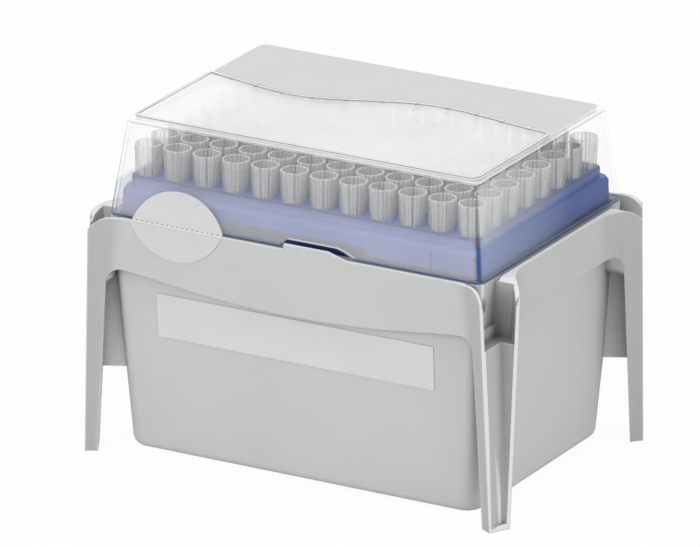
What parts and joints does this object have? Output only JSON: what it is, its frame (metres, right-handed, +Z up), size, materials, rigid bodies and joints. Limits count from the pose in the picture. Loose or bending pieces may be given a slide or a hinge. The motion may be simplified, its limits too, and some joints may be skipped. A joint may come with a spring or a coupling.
{
  "type": "pipette tip box",
  "caption": "Rack box for pipette tips: moulded base on four splayed legs, removable rack of tips and a clear hinged lid.",
  "frame": {"origin": "centre of the footprint on the surface that the feet stand on", "axes": "+Z up; +X along the long side, to the right seen from the label side; -Y towards the label side, hinge on the +Y side"},
  "size_m": [0.1318, 0.0932, 0.0951],
  "materials": {
    "base_plastic": "satin light grey polypropylene",
    "rack_plastic": "satin blue polypropylene",
    "clear_lid": "clear moulded polystyrene",
    "tip_plastic": "translucent natural polypropylene",
    "label_film": "plain printed film"
  },
  "bodies": {
    "base": {"base": "base_plastic", "rack": "rack_plastic", "front_label": "label_film", "seal_lower": "label_film", "tips_column_01": "tip_plastic", "tips_column_02": "tip_plastic", "tips_column_03": "tip_plastic", "tips_column_04": "tip_plastic", "tips_column_05": "tip_plastic", "tips_column_06": "tip_plastic", "tips_column_07": "tip_plastic", "tips_column_08": "tip_plastic", "tips_column_09": "tip_plastic", "tips_column_10": "tip_plastic", "tips_column_11": "tip_plastic", "tips_column_12": "tip_plastic"},
    "lid": {"lid": "clear_lid", "seal_upper": "label_film"}
  },
  "joints": [
    {"name": "lid_hinge", "type": "hinge", "parent": "base", "child": "lid", "pos_m": [0, 0.044, 0.0695], "axis": [-1, 0, 0], "range_deg": [0, 110]}
  ]
}
